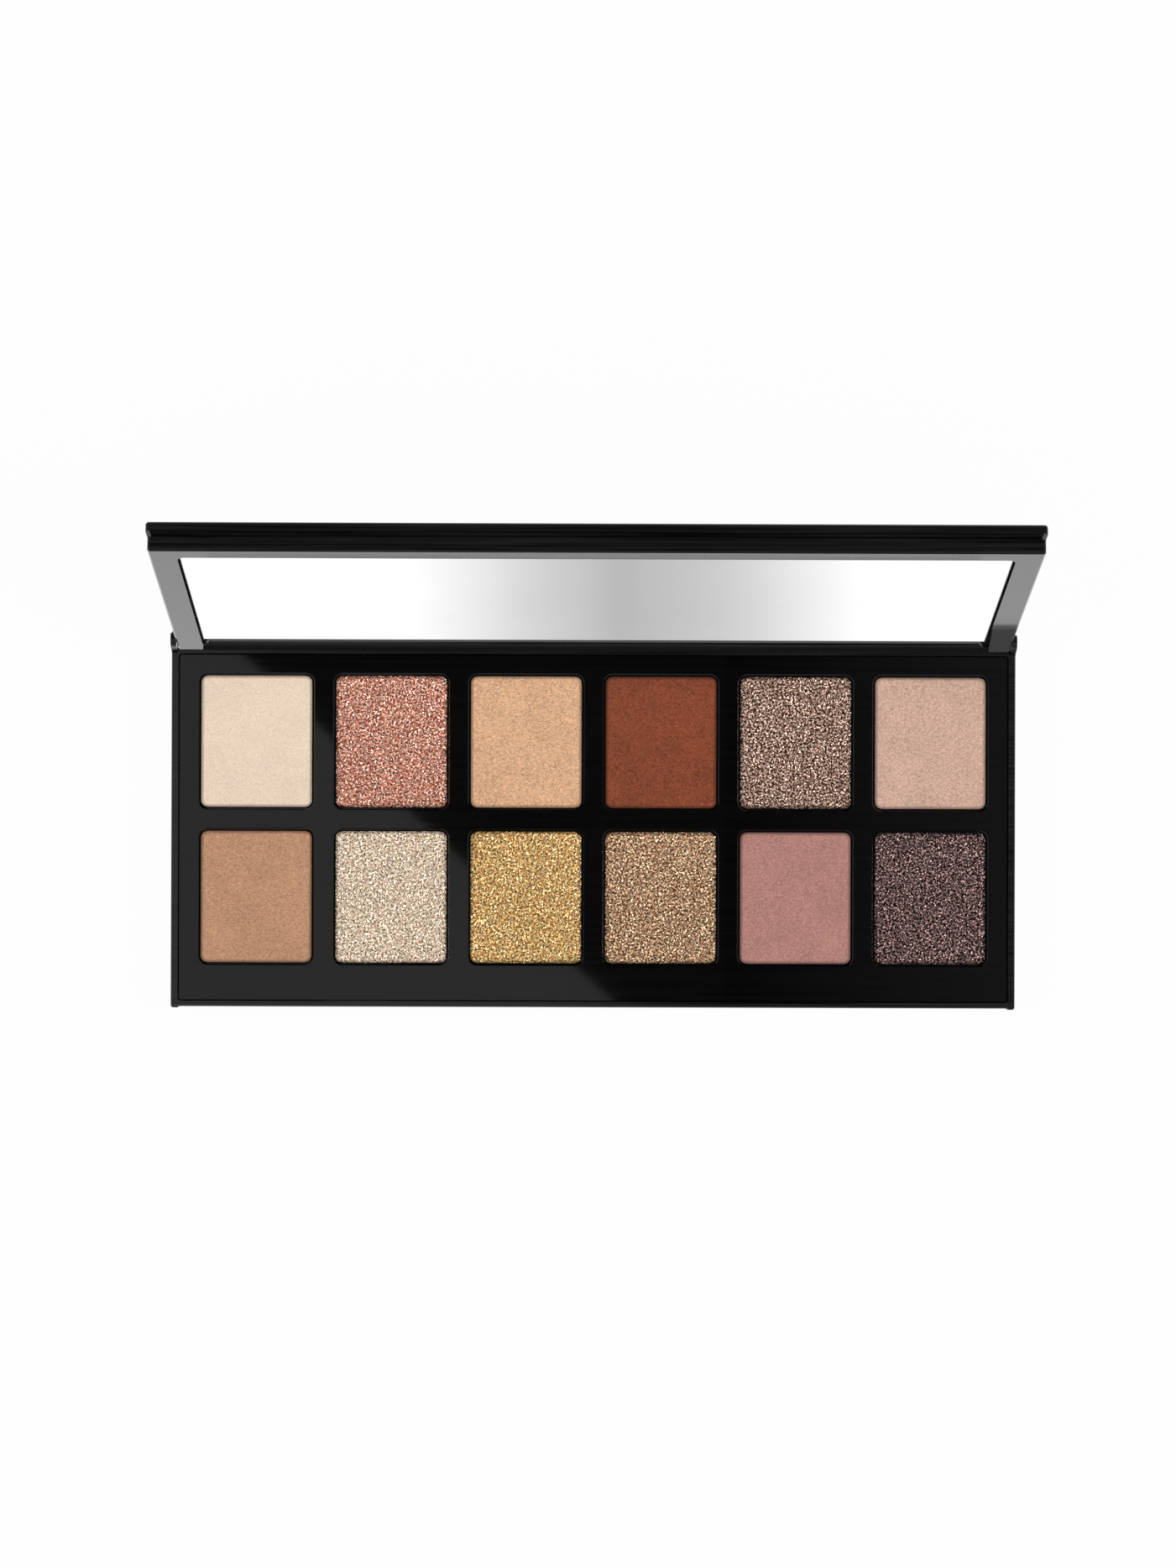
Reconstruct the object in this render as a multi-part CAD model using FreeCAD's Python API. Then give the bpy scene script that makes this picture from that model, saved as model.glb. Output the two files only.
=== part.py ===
# Eyeshadow palette with a hinged mirror lid, built as separate pieces.
# Millimetres, +Z up, +X along the length, +Y towards the hinge.
# The origin is the centre of the base's flat underside.
import FreeCAD, Part
import math
import os

V = FreeCAD.Vector
os.makedirs("parts", exist_ok=True)

# Base case: the margins run from the outer powder cakes to the case's outside
MARGIN_SIDE = 5.6
MARGIN_FRONT = 8.6
MARGIN_BACK = 8.6
RIM_Z = 7.0
WALL = 1.3
FLOOR = 1.2
BASE_CORNER_R = 0.5
BOTTOM_EASE = 0.4
RIM_EASE = 0.2
CAVITY_R = 0.6
FRONT_STEP = 0.25
FRONT_POST = 1.4
RIB_T = 1.0

# Powder cakes in two rows of six, and the drawn metal pans they are pressed into
COLS = 6
ROWS = 2
CAKE_WEB = 4.56
CAKE_W = 21.0
CAKE_D = 24.9
CAKE_R = 1.3
CAKE_H = 2.7
CAKE_PROUD = 0.35
CAKE_SINK = 0.15
CAKE_BEVEL_W = 0.5
CAKE_BEVEL_H = 0.18
PAN_WALL = 0.2
PAN_FLOOR = 0.25
GLUE_W = 12.0
GLUE_D = 15.0
GLUE_H = 0.2

# Tray insert
TRAY_GAP = 0.12
TRAY_BACK_GAP = 0.12
TRAY_SINK = 0.2
TRAY_DECK = 1.3
TRAY_CORNER_R = 0.5
TRAY_EASE = 0.12
WINDOW_EASE = 0.2
PAN_CLEAR = 0.15
WELL_WALL = 0.8
WELL_FLOOR = 0.8

# Lid
LID_GAP = 0.15
FRAME_T = 2.6
FRAME_EASE = 0.35
GROOVE_T = 1.0
GROOVE_IN = 0.5
COVER_T = 1.7
COVER_OVER = 0.35
COVER_EDGE_R = 0.6
LID_CORNER_R = 0.6
BEZEL_SIDE = 5.3
BEZEL_FREE = 5.0
BEZEL_BACK = 4.5
OPENING_R = 1.0
OPENING_EASE = 0.4
NECK_T = 1.2
TONGUE_T = 0.8
TONGUE_H = 0.7
TONGUE_CLEAR = 0.1
TONGUE_END = 4.0

# Mirror
MIRROR_SINK = 0.55
MIRROR_T = 1.5
MIRROR_LAP = 0.6
MIRROR_CLEAR = 0.1
TAPE_IN = 3.0

# Hinge
HINGE_IN = 1.85
HINGE_UP = 1.7
OPEN_ANGLE = 102.2
PIN_R = 0.6
PIN_L = 7.0
PIN_RUN = 0.05
PIN_PRESS = 0.02
PIN_END_GAP = 0.3
BOSS_WALL = 1.0
EAR_T = 1.1
EAR_GAP = 0.2
EAR_R = 1.6
EAR_BACK = 1.2
EAR_FOOT = 2.6
SWEEP_CLEAR = 0.2
STOP_GAP = 0.08
SHELF_D = 4.45
SHELF_T = 2.8

# Closure magnets
MAG_L = 10.0
MAG_D = 2.4
MAG_T = 1.5
MAG_X = 45.0
MAG_IN = 2.8
MAG_CLEAR = 0.05
MAG_COVERED = 0.8
MAG_WALL = 0.9

# Overlap given to joined solids and to cutters, so that no faces merely touch
BITE = 0.5

# Places worked out from the dimensions above
PITCH_X = CAKE_W + CAKE_WEB
PITCH_Y = CAKE_D + CAKE_WEB
HALF_W = (COLS * PITCH_X - CAKE_WEB) / 2 + MARGIN_SIDE
Y_BACK = (ROWS * PITCH_Y - CAKE_WEB + MARGIN_FRONT + MARGIN_BACK) / 2
Y_FRONT = -Y_BACK
ROWS_MID = (MARGIN_FRONT - MARGIN_BACK) / 2
IN_X = HALF_W - WALL
TRAY_Z = RIM_Z - TRAY_SINK
DECK_Z = TRAY_Z - TRAY_DECK
CAKE_Z = TRAY_Z - CAKE_SINK
PAN_Z = CAKE_Z - CAKE_H - PAN_FLOOR
WELL_Z = PAN_Z - GLUE_H
SEAT_Z = WELL_Z - WELL_FLOOR
PAN_W = CAKE_W + 2 * PAN_WALL
PAN_D = CAKE_D + 2 * PAN_WALL
PAN_R = CAKE_R + PAN_WALL
WELL_W = PAN_W + 2 * PAN_CLEAR
WELL_D = PAN_D + 2 * PAN_CLEAR
WELL_R = PAN_R + PAN_CLEAR
LID_Z = RIM_Z + LID_GAP
GROOVE_Z = LID_Z + FRAME_T
COVER_Z = GROOVE_Z + GROOVE_T
LID_TOP = COVER_Z + COVER_T
EAR_X = HALF_W - EAR_T
FRAME_X = EAR_X - EAR_GAP
FRAME_Y = Y_FRONT + COVER_OVER
NECK_X = FRAME_X - GROOVE_IN
NECK_Y0 = FRAME_Y + GROOVE_IN
NECK_Y1 = Y_BACK - GROOVE_IN
OPEN_X = FRAME_X - BEZEL_SIDE
OPEN_Y0 = FRAME_Y + BEZEL_FREE
OPEN_Y1 = Y_BACK - BEZEL_BACK
GLASS_Z = LID_Z + MIRROR_SINK
AXIS_Y = Y_BACK - HINGE_IN
AXIS_Z = LID_Z + HINGE_UP
MAG_Y = Y_FRONT + MAG_IN


def box(x0, x1, y0, y1, z0, z1):
    """Block between two corners."""
    return Part.makeBox(x1 - x0, y1 - y0, z1 - z0, V(x0, y0, z0))


def upright_edges(shape):
    """Edges that run straight up."""
    found = []
    for e in shape.Edges:
        bb = e.BoundBox
        if bb.XLength < 1e-6 and bb.YLength < 1e-6:
            found.append(e)
    return found


def level_edges(shape, z):
    """Edges that lie wholly at one height."""
    found = []
    for e in shape.Edges:
        bb = e.BoundBox
        if abs(bb.ZMin - z) < 1e-6 and abs(bb.ZMax - z) < 1e-6:
            found.append(e)
    return found


def inside_edges(shape, z, reach):
    """Edges at one height that keep within a half width."""
    return [e for e in level_edges(shape, z) if max(abs(e.BoundBox.XMin), abs(e.BoundBox.XMax)) < reach]


def slab(x0, x1, y0, y1, z0, z1, r):
    """Block with rounded upright corners."""
    block = box(x0, x1, y0, y1, z0, z1)
    return block.makeFillet(r, upright_edges(block))


def centred_box(x, y, w, d, z0, z1):
    """Block about a centre, by its width and depth."""
    return box(x - w / 2, x + w / 2, y - d / 2, y + d / 2, z0, z1)


def centred_slab(x, y, w, d, z0, z1, r):
    """Rounded block about a centre, by its width and depth."""
    return slab(x - w / 2, x + w / 2, y - d / 2, y + d / 2, z0, z1, r)


def rod(x0, x1, r):
    """Round bar on the hinge axis."""
    return Part.makeCylinder(r, x1 - x0, V(x0, AXIS_Y, AXIS_Z), V(1, 0, 0))


def mirrored(shape):
    """The same shape on the other side of the middle plane."""
    return shape.mirror(V(0, 0, 0), V(1, 0, 0))


def drawn_along_x(points, x0, x1):
    """Side profile of (y, z) points, drawn out along X."""
    wire = Part.makePolygon([V(x0, y, z) for y, z in points + points[:1]])
    return Part.Face(wire).extrude(V(x1 - x0, 0, 0))


def row_places():
    """Y of each row of pans, back row first."""
    return [ROWS_MID + ((ROWS - 1) / 2 - row) * PITCH_Y for row in range(ROWS)]


def pan_places():
    """Centres of the pans, back row first, each row from left to right."""
    return [((col - (COLS - 1) / 2) * PITCH_X, y) for y in row_places() for col in range(COLS)]


def opened(shape):
    """Swings a lid piece from its closed place to the open stop."""
    turned = shape.copy()
    turned.rotate(V(0, AXIS_Y, AXIS_Z), V(1, 0, 0), -OPEN_ANGLE)
    return turned


def swung(y, z):
    """Side view place, with the lid open, of a point of the closed lid."""
    c = math.cos(math.radians(OPEN_ANGLE))
    s = math.sin(math.radians(OPEN_ANGLE))
    a = y - AXIS_Y
    b = z - AXIS_Z
    return AXIS_Y + a * c + b * s, AXIS_Z - a * s + b * c


def magnet_blocks(z0, z1, spare):
    """The pair of magnets, or with some spare room their pockets."""
    half = MAG_L / 2 + spare
    deep = MAG_D / 2 + spare
    pair = []
    for x in (-MAG_X, MAG_X):
        pair.append(box(x - half, x + half, MAG_Y - deep, MAG_Y + deep, z0, z1))
    return Part.makeCompound(pair)


def save(shape, name):
    """Writes one node."""
    shape.exportStep("parts/" + name + ".step")


def base_outside():
    """Outer block: soft bottom edge and a front face set back between corner posts."""
    block = slab(-HALF_W, HALF_W, Y_FRONT, Y_BACK, 0, RIM_Z, BASE_CORNER_R)
    block = block.makeChamfer(BOTTOM_EASE, level_edges(block, 0))
    post_x = HALF_W - FRONT_POST
    step = box(-post_x, post_x, Y_FRONT - BITE, Y_FRONT + FRONT_STEP, BOTTOM_EASE, RIM_Z + BITE)
    block = block.cut(step)
    return block.makeChamfer(RIM_EASE, level_edges(block, RIM_Z))


def base_cavity():
    """Room for the tray, running on under the hinge shelf to the back wall."""
    shelf_y = Y_BACK - SHELF_D
    room = slab(-IN_X, IN_X, Y_FRONT + WALL, shelf_y, FLOOR, RIM_Z + BITE, CAVITY_R)
    under = slab(-IN_X, IN_X, 0, Y_BACK - WALL, FLOOR, RIM_Z - SHELF_T, CAVITY_R)
    return room.fuse(under)


def hinge_ear():
    """Round ear on a foot, growing out of the right side wall."""
    foot = [
        (AXIS_Y - EAR_R, AXIS_Z),
        (AXIS_Y + EAR_BACK, AXIS_Z),
        (AXIS_Y + EAR_BACK, RIM_Z - BITE),
        (AXIS_Y - EAR_FOOT, RIM_Z - BITE),
        (AXIS_Y - EAR_FOOT, RIM_Z - RIM_EASE),
    ]
    return rod(EAR_X, HALF_W, EAR_R).fuse(drawn_along_x(foot, EAR_X, HALF_W))


def stop_cutter(y0, x0, x1):
    """Takes off all that stands above the open lid's back face, behind y0."""
    heel_y, heel_z = swung(Y_BACK, LID_Z)
    toe_y, toe_z = swung(Y_BACK, LID_TOP)
    slope = (toe_z - heel_z) / (toe_y - heel_y)
    low = heel_z - STOP_GAP * math.hypot(1, slope)
    end = toe_y + BITE
    above = AXIS_Z + LID_TOP
    side = [
        (y0, low + slope * (y0 - heel_y)),
        (end, low + slope * (end - heel_y)),
        (end, above),
        (y0, above),
    ]
    return drawn_along_x(side, x0, x1)


def floor_ribs():
    """Ribs that the wells stand on: two along each row, one between columns."""
    ribs = []
    for y in row_places():
        for at in (y - CAKE_D / 4, y + CAKE_D / 4):
            end = IN_X + WALL / 2
            ribs.append(box(-end, end, at - RIB_T / 2, at + RIB_T / 2, FLOOR - BITE, SEAT_Z))
    back = max(row_places()) + CAKE_D / 2
    front = min(row_places()) - CAKE_D / 2
    for col in range(1, COLS):
        x = (col - COLS / 2) * PITCH_X
        ribs.append(box(x - RIB_T / 2, x + RIB_T / 2, front, back, FLOOR - BITE, SEAT_Z))
    return ribs


def magnet_posts():
    """Solid posts against the front wall, in which the magnets are sunk."""
    half = MAG_L / 2 + MAG_WALL
    back = MAG_Y + MAG_D / 2 + MAG_WALL
    posts = []
    for x in (-MAG_X, MAG_X):
        posts.append(box(x - half, x + half, Y_FRONT + WALL / 2, back, FLOOR - BITE, DECK_Z))
    return posts


def base_shell():
    """Moulded lower case with hinge ears, open stop, ribs and magnet posts."""
    ear = hinge_ear()
    shell = base_outside().cut(base_cavity()).multiFuse([ear, mirrored(ear)])
    shell = shell.cut(stop_cutter(AXIS_Y + EAR_BACK, -HALF_W - BITE, HALF_W + BITE))
    heel_y, heel_z = swung(Y_BACK, LID_Z)
    shell = shell.cut(stop_cutter(heel_y, -EAR_X, EAR_X))
    heel_r = max(math.hypot(HINGE_IN - FRAME_EASE, HINGE_UP), math.hypot(HINGE_IN, HINGE_UP - FRAME_EASE))
    shell = shell.cut(rod(-EAR_X, EAR_X, heel_r + SWEEP_CLEAR))
    bore = rod(EAR_X - BITE, HALF_W + BITE, PIN_R + PIN_PRESS)
    shell = shell.cut(bore).cut(mirrored(bore))
    shell = shell.multiFuse(floor_ribs() + magnet_posts())
    shell = shell.cut(magnet_blocks(DECK_Z - MAG_T, DECK_Z + BITE, MAG_CLEAR))
    return shell.removeSplitter()


def window_edges(tray):
    """Upper edges of the pan windows."""
    found = []
    for x, y in pan_places():
        for e in level_edges(tray, TRAY_Z):
            mid = e.BoundBox.Center
            if abs(mid.x - x) < WELL_W / 2 + BITE and abs(mid.y - y) < WELL_D / 2 + BITE:
                found.append(e)
    return found


def pan_tray():
    """Deck with a soft rim, eased windows and a closed well under each, one moulding."""
    half = IN_X - TRAY_GAP
    y0 = Y_FRONT + WALL + TRAY_GAP
    y1 = Y_BACK - SHELF_D - TRAY_BACK_GAP
    deck = slab(-half, half, y0, y1, DECK_Z, TRAY_Z, TRAY_CORNER_R)
    deck = deck.makeChamfer(TRAY_EASE, level_edges(deck, TRAY_Z))
    cups = []
    rooms = []
    for x, y in pan_places():
        cup_w = WELL_W + 2 * WELL_WALL
        cup_d = WELL_D + 2 * WELL_WALL
        cups.append(centred_box(x, y, cup_w, cup_d, SEAT_Z, DECK_Z + BITE))
        rooms.append(centred_slab(x, y, WELL_W, WELL_D, WELL_Z, TRAY_Z + BITE, WELL_R))
    tray = deck.multiFuse(cups).cut(Part.makeCompound(rooms)).removeSplitter()
    return tray.makeChamfer(WINDOW_EASE, window_edges(tray))


def pan():
    """Drawn metal pan about the origin: thin wall and flat floor."""
    cup = centred_slab(0, 0, PAN_W, PAN_D, PAN_Z, CAKE_Z - CAKE_PROUD, PAN_R)
    return cup.cut(centred_slab(0, 0, CAKE_W, CAKE_D, PAN_Z + PAN_FLOOR, CAKE_Z, CAKE_R))


def powder_cake():
    """Pressed powder about the origin: fills the pan, stands proud, bevelled border."""
    cake = centred_slab(0, 0, CAKE_W, CAKE_D, CAKE_Z - CAKE_H, CAKE_Z, CAKE_R)
    return cake.makeChamfer(CAKE_BEVEL_W, CAKE_BEVEL_H, level_edges(cake, CAKE_Z))


def mirror_frame():
    """Inner half of the lid, closed: bezel, mirror seat, neck, pin bosses and bores."""
    plate = slab(-FRAME_X, FRAME_X, FRAME_Y, Y_BACK, LID_Z, GROOVE_Z, LID_CORNER_R)
    plate = plate.makeChamfer(FRAME_EASE, level_edges(plate, LID_Z))
    neck = slab(-NECK_X, NECK_X, NECK_Y0, NECK_Y1, GROOVE_Z - BITE, COVER_Z, LID_CORNER_R)
    in_x = NECK_X - NECK_T
    neck = neck.cut(box(-in_x, in_x, NECK_Y0 + NECK_T, NECK_Y1 - NECK_T, LID_Z, LID_TOP))
    boss_x = HALF_W - PIN_L - PIN_END_GAP - BOSS_WALL
    boss_y = AXIS_Y - PIN_R - BOSS_WALL
    boss = box(boss_x, NECK_X - NECK_T / 2, boss_y, NECK_Y1 - NECK_T / 2, GROOVE_Z - BITE, COVER_Z)
    frame = plate.multiFuse([neck, boss, mirrored(boss)])
    frame = frame.cut(slab(-OPEN_X, OPEN_X, OPEN_Y0, OPEN_Y1, LID_Z - BITE, LID_TOP, OPENING_R))
    frame = frame.makeChamfer(OPENING_EASE, inside_edges(frame, LID_Z, OPEN_X + BITE))
    lap = MIRROR_LAP + MIRROR_CLEAR
    seat_x = OPEN_X + lap
    frame = frame.cut(box(-seat_x, seat_x, OPEN_Y0 - lap, OPEN_Y1 + lap, GLASS_Z, LID_TOP))
    bore = rod(HALF_W - PIN_L - PIN_END_GAP, HALF_W, PIN_R + PIN_RUN)
    frame = frame.cut(bore).cut(mirrored(bore))
    frame = frame.cut(magnet_blocks(LID_Z + MAG_COVERED, LID_TOP, MAG_CLEAR))
    return frame.removeSplitter()


def lid_cover():
    """Outer half of the lid, closed: soft-edged plate with four tongues inside the neck."""
    half = FRAME_X + COVER_OVER
    plate = slab(-half, half, Y_FRONT, Y_BACK, COVER_Z, LID_TOP, LID_CORNER_R)
    plate = plate.makeFillet(COVER_EDGE_R, level_edges(plate, LID_TOP))
    z0 = COVER_Z - TONGUE_H
    z1 = COVER_Z + BITE
    gap = NECK_T + TONGUE_CLEAR
    x1 = NECK_X - gap
    side = box(x1 - TONGUE_T, x1, OPEN_Y0 + TONGUE_END, OPEN_Y1 - TONGUE_END, z0, z1)
    run = MAG_X - MAG_L / 2 - TONGUE_END
    y0 = NECK_Y0 + gap
    y1 = NECK_Y1 - gap
    free = box(-run, run, y0, y0 + TONGUE_T, z0, z1)
    back = box(-run, run, y1 - TONGUE_T, y1, z0, z1)
    return plate.multiFuse([side, mirrored(side), free, back]).removeSplitter()


def mirror_sheet(grow, z0, z1):
    """Square-cut sheet as large as the opening, grown all round."""
    half = OPEN_X + grow
    return box(-half, half, OPEN_Y0 - grow, OPEN_Y1 + grow, z0, z1)


# Pieces of the base
save(base_shell(), "base_shell")
save(pan_tray(), "pan_tray")
pads = []
for number, (x, y) in enumerate(pan_places(), 1):
    for piece, name in ((pan(), "pan"), (powder_cake(), "shadow")):
        piece.translate(V(x, y, 0))
        save(piece, "%s_%02d" % (name, number))
    pads.append(centred_box(x, y, GLUE_W, GLUE_D, WELL_Z, PAN_Z))
save(Part.makeCompound(pads), "pan_glue")
save(magnet_blocks(DECK_Z - MAG_T, DECK_Z, 0), "base_magnets")
pin = rod(HALF_W - PIN_L, HALF_W, PIN_R)
save(Part.makeCompound([pin, mirrored(pin)]), "hinge_pins")

# Pieces of the lid, built closed and swung open
save(opened(mirror_frame()), "mirror_frame")
save(opened(lid_cover()), "lid_cover")
save(opened(mirror_sheet(MIRROR_LAP, GLASS_Z, GLASS_Z + MIRROR_T)), "mirror")
save(opened(mirror_sheet(-TAPE_IN, GLASS_Z + MIRROR_T, COVER_Z)), "mirror_tape")
lid_mag_z = LID_Z + MAG_COVERED
save(opened(magnet_blocks(lid_mag_z, lid_mag_z + MAG_T, 0)), "lid_magnets")
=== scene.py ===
import math

import bpy
import numpy as np
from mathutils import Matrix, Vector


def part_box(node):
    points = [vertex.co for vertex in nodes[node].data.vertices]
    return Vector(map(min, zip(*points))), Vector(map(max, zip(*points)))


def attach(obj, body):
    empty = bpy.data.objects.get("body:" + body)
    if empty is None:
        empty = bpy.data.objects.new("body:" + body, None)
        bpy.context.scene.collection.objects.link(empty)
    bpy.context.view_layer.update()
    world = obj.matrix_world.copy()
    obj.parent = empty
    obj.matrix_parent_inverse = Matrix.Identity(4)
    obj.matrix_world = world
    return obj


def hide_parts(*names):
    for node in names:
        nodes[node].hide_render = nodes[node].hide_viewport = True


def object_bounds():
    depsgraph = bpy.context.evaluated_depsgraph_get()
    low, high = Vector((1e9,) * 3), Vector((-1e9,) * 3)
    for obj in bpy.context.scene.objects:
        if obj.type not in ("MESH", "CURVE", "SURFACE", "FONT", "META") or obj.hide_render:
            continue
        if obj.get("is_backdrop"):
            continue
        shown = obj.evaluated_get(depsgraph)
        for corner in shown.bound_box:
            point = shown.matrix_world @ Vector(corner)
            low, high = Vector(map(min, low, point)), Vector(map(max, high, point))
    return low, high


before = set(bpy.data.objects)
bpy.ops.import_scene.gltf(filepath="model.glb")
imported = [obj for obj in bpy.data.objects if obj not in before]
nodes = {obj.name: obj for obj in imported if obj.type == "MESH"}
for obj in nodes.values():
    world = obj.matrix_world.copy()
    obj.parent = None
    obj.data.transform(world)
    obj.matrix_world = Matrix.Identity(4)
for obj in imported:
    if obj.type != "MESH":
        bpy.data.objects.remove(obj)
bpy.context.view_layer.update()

MM = 0.001
UM = 1e-6
MM_PER_M = 1000

# Powder pans, back row from left to right and then the front row.
# A matte shade has its colour and how coarse it looks. A glitter shade has its binder, its flakes, the
# painted glint of its brightest flakes and how metallic they are.
MATTE = {
    "shadow_01": ("powder_ivory", "ead4be", 0.35),
    "shadow_03": ("powder_peach", "dcaa86", 1.0),
    "shadow_04": ("powder_brick", "82432b", 1.3),
    "shadow_06": ("powder_pink_beige", "cca896", 0.8),
    "shadow_07": ("powder_caramel", "bb8e6f", 0.8),
    "shadow_11": ("powder_mauve_rose", "b08076", 0.8),
}
GLITTER = {
    "shadow_02": ("powder_rose_copper", "5c2012", "cc765c", "ffdec8", 0.5),
    "shadow_05": ("powder_taupe_bronze", "120602", "664030", "ffdcc6", 0.55),
    "shadow_08": ("powder_champagne", "704830", "fadebe", "fff6e2", 0.4),
    "shadow_09": ("powder_gold", "683406", "e2a65a", "fff0b6", 0.52),
    "shadow_10": ("powder_bronze_tan", "381604", "aa7852", "ffe2bc", 0.55),
    "shadow_12": ("powder_dark_plum", "080203", "2b1718", "c09c98", 0.55),
}


def linear(code):
    """An sRGB hex colour as the linear values that the shaders take."""
    c = np.array([int(code[i:i + 2], 16) for i in (0, 2, 4)]) / 255
    c = np.where(c <= 0.04045, c / 12.92, ((c + 0.055) / 1.055) ** 2.4)
    return (*c.tolist(), 1.0)


def grey(value):
    """A neutral colour at a linear value."""
    return (value, value, value, 1.0)


def node(tree, kind, inputs=None, stops=None, **settings):
    """Adds one node: settings are its properties, inputs its sockets' values or links, stops its ramp."""
    made = tree.nodes.new("ShaderNode" + kind)
    for name, value in settings.items():
        setattr(made, name, value)
    for key, value in (inputs or {}).items():
        if isinstance(value, bpy.types.NodeSocket):
            tree.links.new(value, made.inputs[key])
        else:
            made.inputs[key].default_value = value
    if stops:
        ramp = made.color_ramp
        for place, colour in stops[1:-1]:
            ramp.elements.new(place)
        for element, (place, colour) in zip(ramp.elements, stops):
            element.position = place
            element.color = colour
    return made


def finish_of(name, **constants):
    """A new material with one principled shader, whose constant sockets are set here."""
    made = bpy.data.materials.new(name)
    made.use_nodes = True
    tree = made.node_tree
    tree.nodes.clear()
    shader = node(tree, "BsdfPrincipled", {k.replace("_", " "): v for k, v in constants.items()})
    node(tree, "OutputMaterial", {"Surface": shader.outputs[0]})
    place = node(tree, "TexCoord").outputs["Object"]
    return made, tree, shader, place


# The lid as it stands open. Its groove is a band at a set distance outward from the hinge line.
LID_LEAN = math.radians(12.2)
HINGE_LINE = (0.0, 33.93 * MM, 8.85 * MM)
LID_OUTWARD = (0.0, math.cos(LID_LEAN), -math.sin(LID_LEAN))
GROOVE_MIDDLE = 1.4 * MM
GROOVE_REACH = 0.6 * MM


def in_groove(tree, place):
    """One on the faces of the groove round the lid, by their distance outward from the hinge line."""
    arm = node(tree, "VectorMath", {0: place, 1: HINGE_LINE}, operation="SUBTRACT")
    outward = node(tree, "VectorMath", {0: arm.outputs[0], 1: LID_OUTWARD}, operation="DOT_PRODUCT")
    band = {0: outward.outputs["Value"], 1: GROOVE_MIDDLE, 2: GROOVE_REACH}
    return node(tree, "Math", band, operation="COMPARE").outputs[0]


# A hairline runs for about 33 mm.
HAIRLINES_PER_M = 30.0
HAIRLINE_DEPTH = 4 * UM
SINK_MM = 28.0
POLISHED_GLOSS = 0.5
GROOVE_GLOSS = 0.03


def moulded_black(name, low, high, hair_mm, roughness, sink_um, comb, grooved=False):
    """Injection-moulded black ABS out of a polished tool.

    It is nearly black with a clear gloss. Flow and polish leave hairlines along the length, which
    show only as thin changes of gloss, and the skin sinks a little over tens of millimetres. Real
    hairlines are finer than a tenth of a millimetre, and these are drawn wider so that they show.
    The polishing of the tool doesn't reach into a groove, so its faces come out dull.
    """
    made, tree, shader, place = finish_of(name, IOR=1.5)
    thin = MM_PER_M / hair_mm
    along = node(tree, "Mapping", {"Vector": place, "Scale": (HAIRLINES_PER_M, thin, thin)})
    hairs = node(tree, "TexNoise", {"Vector": along.outputs[0], "Scale": 1.0, "Detail": 3.0})
    sink = node(tree, "TexNoise", {"Vector": place, "Scale": MM_PER_M / SINK_MM, "Detail": 1.0})
    tone = node(tree, "ValToRGB", {"Fac": hairs.outputs[0]}, [(0.35, linear(low)), (0.7, linear(high))])
    gloss = node(tree, "MapRange", {
        "Value": hairs.outputs[0], "From Min": 0.3, "From Max": 0.75,
        "To Min": roughness[0], "To Max": roughness[1]})
    skin = node(tree, "Bump", {"Height": sink.outputs[0], "Strength": 1.0, "Distance": sink_um * UM})
    lines = node(tree, "Bump", {
        "Height": hairs.outputs[0], "Strength": comb, "Distance": HAIRLINE_DEPTH,
        "Normal": skin.outputs[0]})
    tree.links.new(tone.outputs[0], shader.inputs["Base Color"])
    tree.links.new(gloss.outputs[0], shader.inputs["Roughness"])
    tree.links.new(lines.outputs[0], shader.inputs["Normal"])
    if grooved:
        dulled = node(tree, "MapRange", {
            "Value": in_groove(tree, place), "To Min": POLISHED_GLOSS, "To Max": GROOVE_GLOSS})
        tree.links.new(dulled.outputs[0], shader.inputs["Specular IOR Level"])
    return made


# A line left by the die or wheel runs for about 12 mm.
DRAW_LINES_PER_M = 80.0
DRAW_LINE_DEPTH = 8 * UM


def drawn_metal(name, dark, light, roughness, line_mm):
    """Metal drawn or ground to shape, then left bare or plated.

    The die or wheel leaves fine lines up the wall, so the gloss is streaked and never mirror-like.
    The lines are drawn wider than real ones so that they show.
    """
    made, tree, shader, place = finish_of(name, Metallic=1.0)
    thin = MM_PER_M / line_mm
    upward = node(tree, "Mapping", {"Vector": place, "Scale": (thin, thin, DRAW_LINES_PER_M)})
    lines = node(tree, "TexNoise", {"Vector": upward.outputs[0], "Scale": 1.0, "Detail": 4.0})
    tone = node(tree, "ValToRGB", {"Fac": lines.outputs[0]}, [(0.3, linear(dark)), (0.7, linear(light))])
    gloss = node(tree, "MapRange", {
        "Value": lines.outputs[0], "To Min": roughness[0], "To Max": roughness[1]})
    relief = node(tree, "Bump", {"Height": lines.outputs[0], "Strength": 0.2, "Distance": DRAW_LINE_DEPTH})
    tree.links.new(tone.outputs[0], shader.inputs["Base Color"])
    tree.links.new(gloss.outputs[0], shader.inputs["Roughness"])
    tree.links.new(relief.outputs[0], shader.inputs["Normal"])
    return made


WIPE_MM = 22.0


def silvered_glass():
    """Float glass silvered behind: a clear mirror, with a faint wipe haze that softens it in patches."""
    made, tree, shader, place = finish_of("silvered_float_glass", Metallic=1.0)
    haze = node(tree, "TexNoise", {"Vector": place, "Scale": MM_PER_M / WIPE_MM, "Detail": 3.0})
    gloss = node(tree, "MapRange", {"Value": haze.outputs[0], "To Min": 0.004, "To Max": 0.02})
    tone = node(tree, "ValToRGB", {"Fac": haze.outputs[0]}, [
        (0.3, linear("fafafa")), (0.7, linear("fefefe"))])
    tree.links.new(tone.outputs[0], shader.inputs["Base Color"])
    tree.links.new(gloss.outputs[0], shader.inputs["Roughness"])
    return made


CELL_DEPTH = 40 * UM


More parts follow.
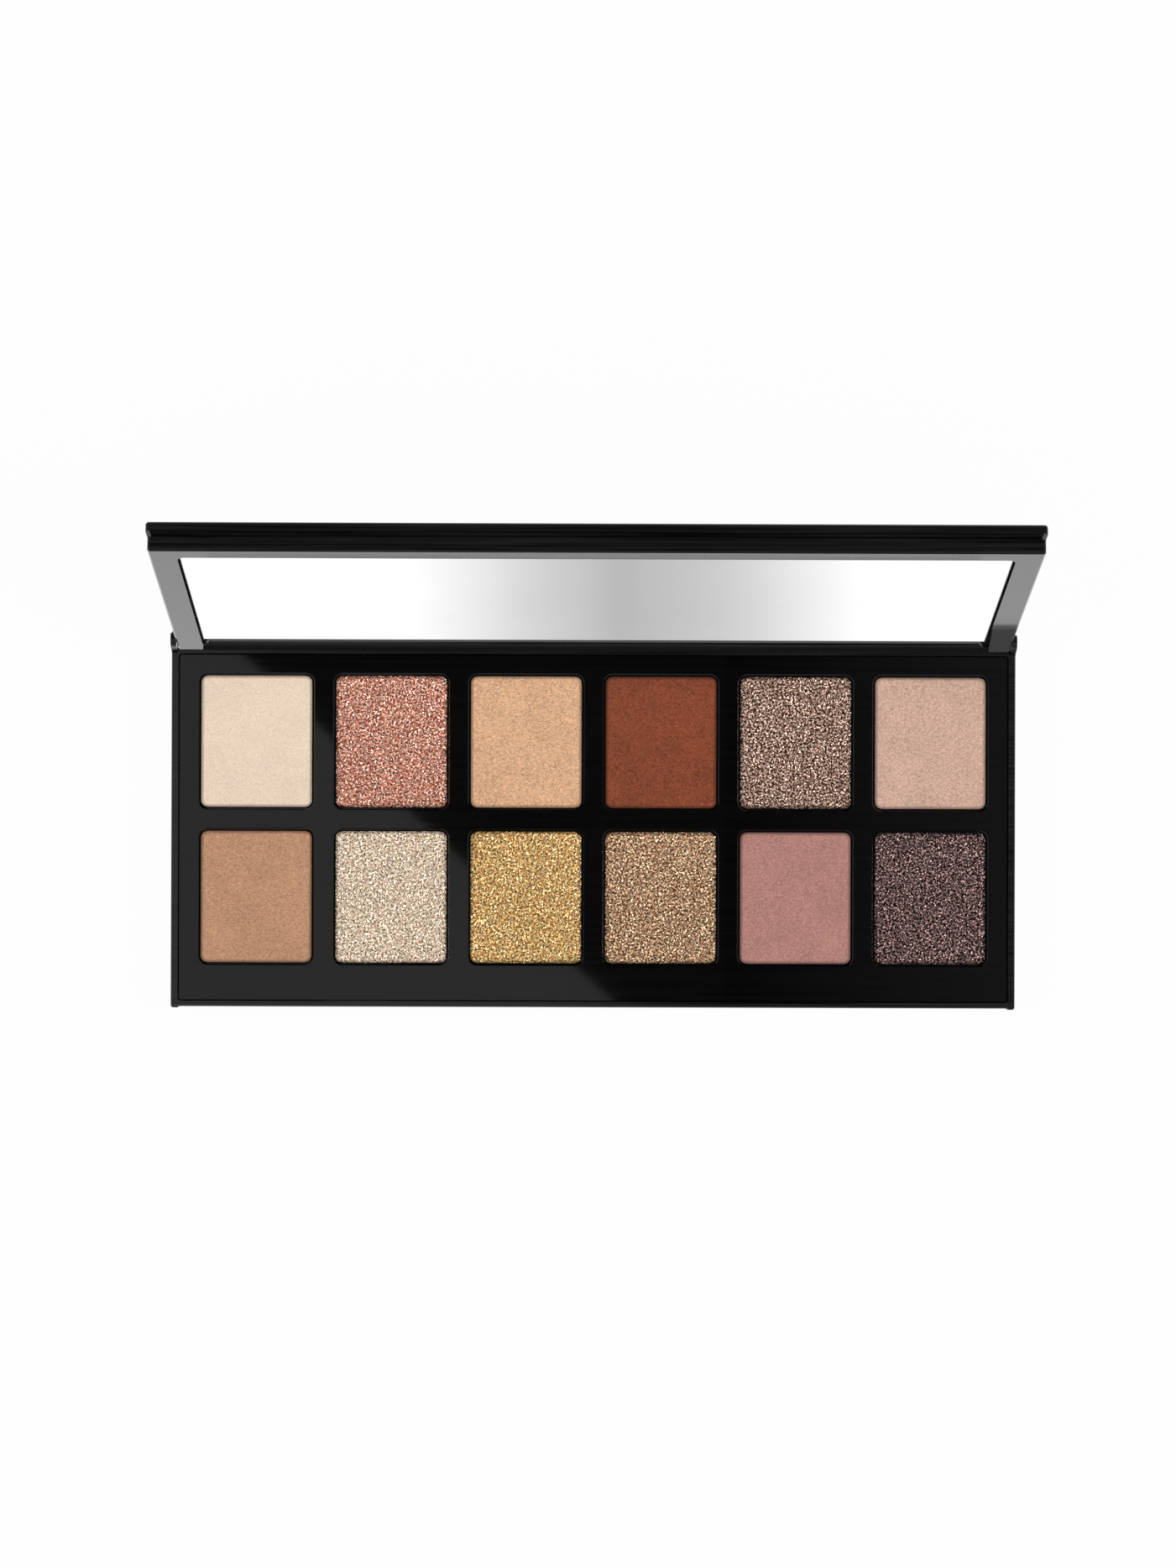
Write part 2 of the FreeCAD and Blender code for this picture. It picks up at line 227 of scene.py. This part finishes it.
def cellular(name, dark, light, cell_mm, roughness, **constants):
    """Foamed or set polymer: closed cells or ripples a fraction of a millimetre wide, dull and uneven."""
    made, tree, shader, place = finish_of(name, Roughness=roughness, **constants)
    cells = node(tree, "TexVoronoi", {"Vector": place, "Scale": MM_PER_M / cell_mm}).outputs["Distance"]
    tone = node(tree, "ValToRGB", {"Fac": cells}, [(0.1, linear(dark)), (0.7, linear(light))])
    relief = node(tree, "Bump", {"Height": cells, "Strength": 0.4, "Distance": CELL_DEPTH})
    tree.links.new(tone.outputs[0], shader.inputs["Base Color"])
    tree.links.new(relief.outputs[0], shader.inputs["Normal"])
    return made


# Painted shade: the share of its colour that a cake keeps at the foot of its bevel.
EDGE_SHADE = 0.55


def painted_bevel_shade(tree, colour):
    """The colour, darkened down the bevel as painted shade."""
    edge = node(tree, "Attribute", attribute_name="edge")
    shade = node(tree, "MapRange", {"Value": edge.outputs["Fac"], "To Min": 1.0, "To Max": EDGE_SHADE})
    return node(tree, "VectorMath", {0: colour, 1: shade.outputs[0]}, operation="MULTIPLY").outputs[0]


# The two ways that the threads of the press cloth run: a turn in degrees and a shift of the pattern.
CLOTH_RUNS = ((35.0, 0.0), (-52.0, 3.7))
DENT_MM = (0.32, 0.2, 0.4)
DENT_DEPTH = 40 * UM
DENT_RELIEF = 0.6
DENT_CONTRAST = 0.5
MOTTLE_MM = 5.0
MOTTLE_SHARE = 0.25


def pressed_powder(name, code, coarse):
    """Matte talc-based powder pressed through cloth.

    The press leaves short crossing dents a few tenths of a millimetre wide, and the pigment mottles
    faintly over several millimetres. The surface scatters like chalk, with no gloss of its own.
    """
    made, tree, shader, place = finish_of(
        name, Specular_IOR_Level=0.15, Sheen_Weight=0.06, Sheen_Roughness=0.6)
    threads = []
    for turn, shift in CLOTH_RUNS:
        laid = node(tree, "Mapping", {
            "Vector": place, "Location": (shift, shift, 0), "Rotation": (0, 0, math.radians(turn)),
            "Scale": [MM_PER_M / size for size in DENT_MM]})
        thread = node(tree, "TexNoise", {"Vector": laid.outputs[0], "Scale": 1.0, "Detail": 2.0})
        threads.append(thread.outputs[0])
    dents = node(tree, "Math", {0: threads[0], 1: threads[1]}, operation="ADD").outputs[0]
    mottle = node(tree, "TexNoise", {"Vector": place, "Scale": MM_PER_M / MOTTLE_MM, "Detail": 2.0})
    shade = node(tree, "Math", {0: mottle.outputs[0], 1: MOTTLE_SHARE, 2: dents}, operation="MULTIPLY_ADD")
    base = np.array(linear(code)[:3])
    spread = DENT_CONTRAST * coarse
    low = (*(base * (1 - spread)).tolist(), 1.0)
    high = (*np.minimum(base * (1 + spread), 1.0).tolist(), 1.0)
    tone = node(tree, "MapRange", {"Value": shade.outputs[0], "From Min": 0.75, "From Max": 1.5})
    mixed = node(tree, "Mix", {0: tone.outputs[0], 6: low, 7: high}, data_type="RGBA")
    dull = node(tree, "MapRange", {"Value": dents, "From Max": 2.0, "To Min": 0.98, "To Max": 0.8})
    relief = node(tree, "Bump", {"Height": dents, "Strength": DENT_RELIEF * coarse, "Distance": DENT_DEPTH})
    tree.links.new(painted_bevel_shade(tree, mixed.outputs[2]), shader.inputs["Base Color"])
    tree.links.new(dull.outputs[0], shader.inputs["Roughness"])
    tree.links.new(relief.outputs[0], shader.inputs["Normal"])
    return made


DUST_MM = 0.3


def flaked_powder(name, binder, flake, painted_glint, metal):
    """Metallic powder: mica flakes leaning every way in a darker pressed binder.

    Each flake is a facet of the mesh with a value of its own, from binder darkened by painted shade
    to bright flake with a painted glint, and a metal-like gloss that catches the lights as the facet
    leans. Real flakes are about a tenth of a millimetre across or less, and these are drawn at twice
    that so that they show.
    """
    made, tree, shader, place = finish_of(name, Metallic=metal, Specular_IOR_Level=0.25)
    own = node(tree, "Attribute", attribute_name="flake")
    # The ramp runs from the binder with painted shade, through the flakes' own colour, to a painted glint.
    tone = node(tree, "ValToRGB", {"Fac": own.outputs["Fac"]}, [
        (0.0, linear(binder)), (0.55, linear(flake)), (1.0, linear(painted_glint))])
    dust = node(tree, "TexNoise", {"Vector": place, "Scale": MM_PER_M / DUST_MM, "Detail": 2.0})
    worn = node(tree, "MapRange", {"Value": dust.outputs[0], "To Min": 0.15, "To Max": 0.35})
    tree.links.new(painted_bevel_shade(tree, tone.outputs[0]), shader.inputs["Base Color"])
    tree.links.new(worn.outputs[0], shader.inputs["Roughness"])
    return made


def value_noise(x, y, size, rng):
    """Smooth noise from 0 to 1: random values on a square lattice of the given size, blended between."""
    u, v = (x - x.min()) / size, (y - y.min()) / size
    i, j = np.floor(u).astype(int), np.floor(v).astype(int)
    lattice = rng.random((i.max() + 2, j.max() + 2))
    s, t = u - i, v - j
    s, t = s * s * (3 - 2 * s), t * t * (3 - 2 * t)
    low = lattice[i, j] * (1 - s) + lattice[i + 1, j] * s
    high = lattice[i, j + 1] * (1 - s) + lattice[i + 1, j + 1] * s
    return low * (1 - t) + high * t


# A flake is compared with those up to this many away, and a smaller push parts the values more.
FLAKE_NEAR = 2
FLAKE_PUSH = 0.65


def flake_values(across, along, rng):
    """A value from 0 to 1 for each flake of a grid, unlike its neighbours'.

    Random draws less the mean of the square of flakes around leave a fine, even sparkle with no
    blotches. Their ranks are spread evenly and then pushed towards both ends, since a flake either
    faces the light or doesn't.
    """
    side = 2 * FLAKE_NEAR + 1
    draws = rng.random((across + side - 1, along + side - 1))
    rows = sum(draws[i:i + across] for i in range(side))
    around = sum(rows[:, j:j + along] for j in range(side)) / side ** 2
    apart = (draws[FLAKE_NEAR:-FLAKE_NEAR, FLAKE_NEAR:-FLAKE_NEAR] - around).ravel()
    even = np.argsort(np.argsort(apart)) / (apart.size - 1)
    away = 2 * even - 1
    return 0.5 + 0.5 * np.sign(away) * np.abs(away) ** FLAKE_PUSH


CAKE_CORNER = 1.3 * MM
CAKE_BEVEL = 0.55 * MM
CAKE_DROP = 0.22 * MM
BEVEL_POWER = 1.15
CAKE_CROWN = 0.04 * MM
MATTE_STEP = 0.2 * MM
PRESS_DENT = 0.014 * MM
PRESS_DENT_SIZE = 0.9 * MM
FLAKE_STEP = 0.2 * MM
FLAKE_LEAN = 0.16 * MM
# How far a grid point may shift in all, where one step of the grid is 2.
FLAKE_SHIFT = 1.1
# The flakes' value on the skirt and floor, which lie inside the pan.
SKIRT_FLAKE = 0.3
# At 2 the bevel has its full shade halfway down.
EDGE_GAIN = 2


def pressed_cake(name, low, high, flaked, seed):
    """A pressed cake as a grid of across and along, closed by a skirt and a floor.

    Across is squeezed so that the grid ends on a rectangle with rounded corners. The height is the
    top, less a soft bevel that falls with the distance from the outline, plus a slight crown in the
    middle and the press marks: smooth dents on a matte cake, and on a flaked one a random height
    and shift for every grid point, which leans each facet its own way.
    """
    rng = np.random.default_rng(seed)
    middle = (low + high) / 2
    half_w, half_d = (high.x - low.x) / 2, (high.y - low.y) / 2
    step = FLAKE_STEP if flaked else MATTE_STEP
    across, along = round(2 * half_w / step), round(2 * half_d / step)
    u, v = np.meshgrid(np.linspace(-1, 1, across + 1), np.linspace(-1, 1, along + 1), indexing="ij")
    inner = (slice(1, -1), slice(1, -1))
    if flaked:
        u[inner] += (rng.random(u[inner].shape) - 0.5) * FLAKE_SHIFT / across
        v[inner] += (rng.random(v[inner].shape) - 0.5) * FLAKE_SHIFT / along
    y = v * half_d
    past = np.clip(np.abs(y) - (half_d - CAKE_CORNER), 0, CAKE_CORNER)
    x = u * (half_w - CAKE_CORNER + np.sqrt(CAKE_CORNER ** 2 - past ** 2))
    reach_x = np.abs(x) - (half_w - CAKE_CORNER)
    reach_y = np.abs(y) - (half_d - CAKE_CORNER)
    corner = np.hypot(np.clip(reach_x, 0, None), np.clip(reach_y, 0, None))
    inside = CAKE_CORNER - corner - np.minimum(np.maximum(reach_x, reach_y), 0)
    fall = np.clip(1 - inside / CAKE_BEVEL, 0, 1)
    crown = CAKE_CROWN * (1 - (x / half_w) ** 2) * (1 - (y / half_d) ** 2)
    z = high.z - CAKE_CROWN - CAKE_DROP * fall ** BEVEL_POWER + crown
    if flaked:
        z -= FLAKE_LEAN * rng.random(z.shape)
    else:
        z -= PRESS_DENT * value_noise(x, y, PRESS_DENT_SIZE, rng)
    top = np.stack([middle.x + x, middle.y + y, z], -1).reshape(-1, 3)
    index = np.arange(top.shape[0]).reshape(z.shape)
    quads = np.stack([index[:-1, :-1], index[1:, :-1], index[1:, 1:], index[:-1, 1:]], -1).reshape(-1, 4)
    rim = np.concatenate([index[:-1, 0], index[-1, :-1], index[:0:-1, -1], index[0, :0:-1]])
    foot = top[rim] * (1, 1, 0) + (0, 0, low.z)
    under = top.shape[0] + np.arange(rim.size)
    skirt = np.stack([rim, under, np.roll(under, -1), np.roll(rim, -1)], -1)
    faces = np.concatenate([quads, skirt]).tolist() + [under[::-1].tolist()]
    mesh = bpy.data.meshes.new(name)
    mesh.from_pydata(np.concatenate([top, foot]).tolist(), [], faces)
    mesh.polygons.foreach_set("use_smooth", np.full(len(faces), not flaked))
    if flaked:
        own = np.full(len(faces), SKIRT_FLAKE)
        own[:len(quads)] = flake_values(across, along, rng)
        mesh.attributes.new("flake", "FLOAT", "FACE").data.foreach_set("value", own)
    # The edge value carries the painted shade of the bevel, and is full on the skirt and floor.
    edge = np.concatenate([np.minimum(fall * EDGE_GAIN, 1).ravel(), np.ones(rim.size)])
    mesh.attributes.new("edge", "FLOAT", "POINT").data.foreach_set("value", edge)
    mesh.update()
    made = bpy.data.objects.new(name, mesh)
    bpy.context.scene.collection.objects.link(made)
    return made


def dress(names, material):
    """Gives CAD pieces a finish through their material slots."""
    for name in names:
        for slot in nodes[name].material_slots:
            slot.material = material


CASE = {
    "low": "040404", "high": "1f1f21", "hair_mm": 0.34,
    "roughness": (0.06, 0.16), "sink_um": 6.0, "comb": 0.1,
}
TRAY = {
    "low": "050505", "high": "090909", "hair_mm": 0.5,
    "roughness": (0.025, 0.04), "sink_um": 2.0, "comb": 0.01,
}
dress(["base_shell"], moulded_black("polished_black_abs", **CASE))
lid_black = moulded_black("polished_black_abs_with_dull_groove", **CASE, grooved=True)
dress(["mirror_frame", "lid_cover"], lid_black)
dress(["pan_tray"], moulded_black("high_gloss_black_abs", **TRAY))

# The pans' aluminium is coloured near black: painted shade for the narrow gap round each cake, where the
# rim lies deep.
pan_metal = drawn_metal("drawn_aluminium_painted_shade", "0b0b0b", "1c1c1c", roughness=(0.3, 0.5), line_mm=0.12)
magnet_metal = drawn_metal("nickel_plated_magnet", "a09a90", "c0bab0", roughness=(0.2, 0.35), line_mm=0.2)
pin_metal = drawn_metal("ground_steel_pin", "8e8f91", "b8b9bb", roughness=(0.22, 0.35), line_mm=0.1)
dress([name for name in nodes if name.startswith("pan_") and name[-2:].isdigit()], pan_metal)
dress(["base_magnets", "lid_magnets"], magnet_metal)
dress(["hinge_pins"], pin_metal)

dress(["mirror"], silvered_glass())
glue = cellular("set_hot_melt_glue", "b79b63", "d9c08a", cell_mm=0.8, roughness=0.35, Subsurface_Weight=0.1)
foam = cellular("closed_cell_foam_tape", "c9c9c6", "efefec", cell_mm=0.25, roughness=0.8)
dress(["pan_glue"], glue)
dress(["mirror_tape"], foam)

FIRST_SEED = 11
for seed, (cake, shade) in enumerate(sorted({**MATTE, **GLITTER}.items()), FIRST_SEED):
    low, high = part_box(cake)
    piece = pressed_cake("cake_" + shade[0].removeprefix("powder_"), low, high, cake in GLITTER, seed)
    if cake in GLITTER:
        piece.data.materials.append(flaked_powder("mica_" + shade[0], *shade[1:]))
    else:
        piece.data.materials.append(pressed_powder("pressed_" + shade[0], *shade[1:]))
    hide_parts(cake)
    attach(piece, "base")


def card(name, outline, height, shader_of, *settings):
    """A level stage piece through points across and along, with a plain shader of its own."""
    corners = np.column_stack([outline, np.full(len(outline), height)])
    mesh = bpy.data.meshes.new(name)
    mesh.from_pydata(corners.tolist(), [], [range(len(corners))])
    made = bpy.data.objects.new(name, mesh)
    bpy.context.scene.collection.objects.link(made)
    finish = bpy.data.materials.new(name)
    finish.use_nodes = True
    tree = finish.node_tree
    tree.nodes.clear()
    node(tree, "OutputMaterial", {"Surface": shader_of(tree, *settings)})
    mesh.materials.append(finish)
    made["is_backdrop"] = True
    return made


def rectangle(x0, x1, y0, y1):
    """The corners of a level rectangle, anticlockwise."""
    return [(x0, y0), (x1, y0), (x1, y1), (x0, y1)]


def seen_rays(tree):
    """One where a ray comes from the camera, a mirror or a glass, and zero for light between surfaces."""
    path = node(tree, "LightPath").outputs
    seen = path["Is Camera Ray"]
    for other in ("Is Glossy Ray", "Is Transmission Ray"):
        seen = node(tree, "Math", {0: seen, 1: path[other]}, operation="MAXIMUM").outputs[0]
    return seen


PAPER = 0.82
PAPER_SHOWN_WHITE = 0.96


def floor_shader(tree):
    """White paper, seen as the plain background, with a share of its own light left to show shadows."""
    paper = node(tree, "BsdfDiffuse", {"Color": grey(PAPER)})
    white = node(tree, "Emission", {"Color": grey(1.0), "Strength": 1.0})
    share = node(tree, "Math", {0: seen_rays(tree), 1: PAPER_SHOWN_WHITE}, operation="MULTIPLY")
    mixed = node(tree, "MixShader", {0: share.outputs[0], 1: paper.outputs[0], 2: white.outputs[0]})
    return mixed.outputs[0]


def one_sided(tree, colour, strength):
    """Light from a card's upper face, with its underside clear."""
    lit = node(tree, "Emission", {"Color": colour, "Strength": strength})
    under = node(tree, "NewGeometry").outputs["Backfacing"]
    clear = node(tree, "BsdfTransparent")
    return node(tree, "MixShader", {0: under, 1: lit.outputs[0], 2: clear.outputs[0]}).outputs[0]


# Where the grey band lies across the mirror's card, and its levels from one end to the other.
BAND_LEFT, BAND_RIGHT = -0.05, 0.065
BAND = (
    (0.0, 1.0), (0.15, 0.9), (0.29, 0.68), (0.43, 0.505),
    (0.51, 0.465), (0.71, 0.64), (0.85, 0.88), (1.0, 1.0),
)


def mirror_card_shader(tree, strength):
    """Pale card that the mirror sees, white at its ends with a soft grey band near the middle."""
    across = node(tree, "SeparateXYZ", {0: node(tree, "TexCoord").outputs["Object"]})
    run = node(tree, "MapRange", {
        "Value": across.outputs[0], "From Min": BAND_LEFT, "From Max": BAND_RIGHT})
    band = node(tree, "ValToRGB", {"Fac": run.outputs[0]}, [(place, grey(level)) for place, level in BAND])
    band.color_ramp.interpolation = "CARDINAL"
    return one_sided(tree, band.outputs[0], strength)


def panel_shader(tree, strength):
    """Overhead soft panel at an even, modest level."""
    return node(tree, "Emission", {"Color": grey(1.0), "Strength": strength}).outputs[0]


def dim_panel_shader(tree, clear_x, full_x, strength):
    """Far overhead panel, dim, and fading out towards the middle of the room."""
    across = node(tree, "SeparateXYZ", {0: node(tree, "TexCoord").outputs["Object"]})
    fade = node(tree, "MapRange", {
        "Value": across.outputs[0], "From Min": clear_x, "From Max": full_x, "To Max": strength})
    return node(tree, "Emission", {"Color": grey(1.0), "Strength": fade.outputs[0]}).outputs[0]


# Lengths on the stage are in metres. The floor lies a little below the part.
FLOOR = 4.0
FLOOR_Z = -0.0002
card("floor", rectangle(-FLOOR, FLOOR, -FLOOR, FLOOR), FLOOR_Z, floor_shader)

# These cards lie over the tray, and only the lid sees them, from above. The middle one lights the
# mirror alone, so the bevel round the glass stays dark, and the others are what the bezel mirrors.
CARD_Z = 0.0082
CARD_OUT = 0.1
CARD_FRONT = -0.04
GLASS_X, GLASS_FRONT, GLASS_BACK = 0.074, 0.01325, 0.031
LEFT_BACK, RIGHT_BACK = 0.034, 0.0263

# The line on which the mirror's card and the dim one meet slants inwards to the back.
SLANT_FRONT = (GLASS_X + 0.0018, RIGHT_BACK)
SLANT_MIDDLE = (GLASS_X + 0.0009, GLASS_BACK)
SLANT_BACK = (GLASS_X + 0.0005, LEFT_BACK)

# The card in front is a little brighter, against the blur at the top of the bezel, which alone sees
# it. The foot of the frame's right side sees the dim one.
MIRROR_LEVEL = 1.12
FRONT_LEVEL = 1.15
SIDE_LEVEL = 1.05
DIM_LEVEL = 0.17


def level_card(name, outline, shader_of, *settings):
    """A card just over the tray, that only mirrors show."""
    made = card(name, outline, CARD_Z, shader_of, *settings)
    made.visible_camera = False
    made.visible_diffuse = False
    made.visible_shadow = False
    return made


glass_card = level_card("mirror_card", [
    (-GLASS_X, GLASS_FRONT), (GLASS_X, GLASS_FRONT), (GLASS_X, RIGHT_BACK),
    SLANT_FRONT, SLANT_MIDDLE, (-GLASS_X, GLASS_BACK)], mirror_card_shader, MIRROR_LEVEL)
lit_glass = bpy.data.collections.new("lit_glass")
lit_glass.objects.link(nodes["mirror"])
glass_card.light_linking.receiver_collection = lit_glass

front = rectangle(-GLASS_X, GLASS_X, CARD_FRONT, GLASS_FRONT)
left = rectangle(-CARD_OUT, -GLASS_X, CARD_FRONT, LEFT_BACK)
right = rectangle(GLASS_X, CARD_OUT, CARD_FRONT, RIGHT_BACK)
right_foot = [SLANT_FRONT, (CARD_OUT, RIGHT_BACK), (CARD_OUT, LEFT_BACK), SLANT_BACK, SLANT_MIDDLE]
level_card("bezel_card_front", front, one_sided, grey(1.0), FRONT_LEVEL)
level_card("bezel_card_left", left, one_sided, grey(1.0), SIDE_LEVEL)
level_card("bezel_card_right", right, one_sided, grey(1.0), SIDE_LEVEL)
level_card("bezel_card_dim", right_foot, one_sided, grey(1.0), DIM_LEVEL)

# The panel's straight edge, from its first corner to its last, is what the tray mirrors as a diagonal.
PANEL = [(0.6, -0.619), (-0.6, -1.2), (-1.1, 0.1), (-0.6, 0.4974)]
PANEL_Z = 1.0068
PANEL_LEVEL = 0.55
panel = card("overhead_panel", PANEL, PANEL_Z, panel_shader, PANEL_LEVEL)
panel.visible_camera = False

DIM_PANEL_NEAR, DIM_PANEL_FULL, DIM_PANEL_FAR = 0.06, 0.2, 0.5
DIM_PANEL_DEEP = 0.4
DIM_PANEL_Z = 1.02
DIM_PANEL_LEVEL = 0.17
dim_panel = card(
    "overhead_dim_panel", rectangle(DIM_PANEL_NEAR, DIM_PANEL_FAR, -DIM_PANEL_DEEP, DIM_PANEL_DEEP),
    DIM_PANEL_Z, dim_panel_shader, DIM_PANEL_NEAR, DIM_PANEL_FULL, DIM_PANEL_LEVEL)
dim_panel.visible_camera = False


def soft_box(name, place, aim, size, power):
    """A rectangular soft light at a place, turned to face a point."""
    lamp = bpy.data.lights.new(name, "AREA")
    lamp.shape = "RECTANGLE"
    lamp.size, lamp.size_y = size
    lamp.energy = power
    made = bpy.data.objects.new(name, lamp)
    bpy.context.scene.collection.objects.link(made)
    made.location = place
    made.rotation_euler = (Vector(aim) - Vector(place)).to_track_quat("-Z", "Y").to_euler()
    made.visible_camera = False


BOX_AIM = (0, 0, 0)
BOX_SIZE = (0.8, 0.9)
soft_box("left_soft_box", (-1.0, -0.05, 1.0), BOX_AIM, BOX_SIZE, power=13.8)
soft_box("right_soft_box", (1.0, -0.05, 1.0), BOX_AIM, BOX_SIZE, power=12.2)

# The room is bright low down and dark overhead, dimmer in mirrors, and white where the camera sees it.
WALL_LOW, WALL_HIGH = 0.72, 0.048
WALL_MIRRORED = 0.55
world = bpy.data.worlds.new("studio")
world.use_nodes = True
sky = world.node_tree
sky.nodes.clear()
up = node(sky, "SeparateXYZ", {0: node(sky, "TexCoord").outputs["Generated"]})
wall = node(sky, "MapRange", {
    "Value": up.outputs[2], "From Min": 0.1, "From Max": 0.95, "To Min": WALL_LOW, "To Max": WALL_HIGH})
path = node(sky, "LightPath")
dim = node(sky, "MapRange", {
    "Value": path.outputs["Is Glossy Ray"], "To Min": 1.0, "To Max": WALL_MIRRORED})
level = node(sky, "Math", {0: wall.outputs[0], 1: dim.outputs[0]}, operation="MULTIPLY")
shown = node(sky, "Mix", {0: path.outputs["Is Camera Ray"], 2: level.outputs[0], 3: 1.0})
room = node(sky, "Background", {"Color": grey(1.0), "Strength": shown.outputs[0]})
node(sky, "OutputWorld", {"Surface": room.outputs[0]})
bpy.context.scene.world = world
bpy.context.scene.view_settings.view_transform = "Standard"

SENSOR_MM = 36.0
LENS_MM = 108.91
CAMERA_PLACE = (-0.00608, 0.00174, 0.90636)
CAMERA_TURN = (0.322, -0.322, 0.188)
lens = bpy.data.cameras.new("camera")
lens.sensor_width = SENSOR_MM
lens.lens = LENS_MM
lens.clip_start, lens.clip_end = 0.01, 20.0
camera = bpy.data.objects.new("camera", lens)
bpy.context.scene.collection.objects.link(camera)
camera.location = CAMERA_PLACE
camera.rotation_euler = [math.radians(a) for a in CAMERA_TURN]
bpy.context.scene.camera = camera

low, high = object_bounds()
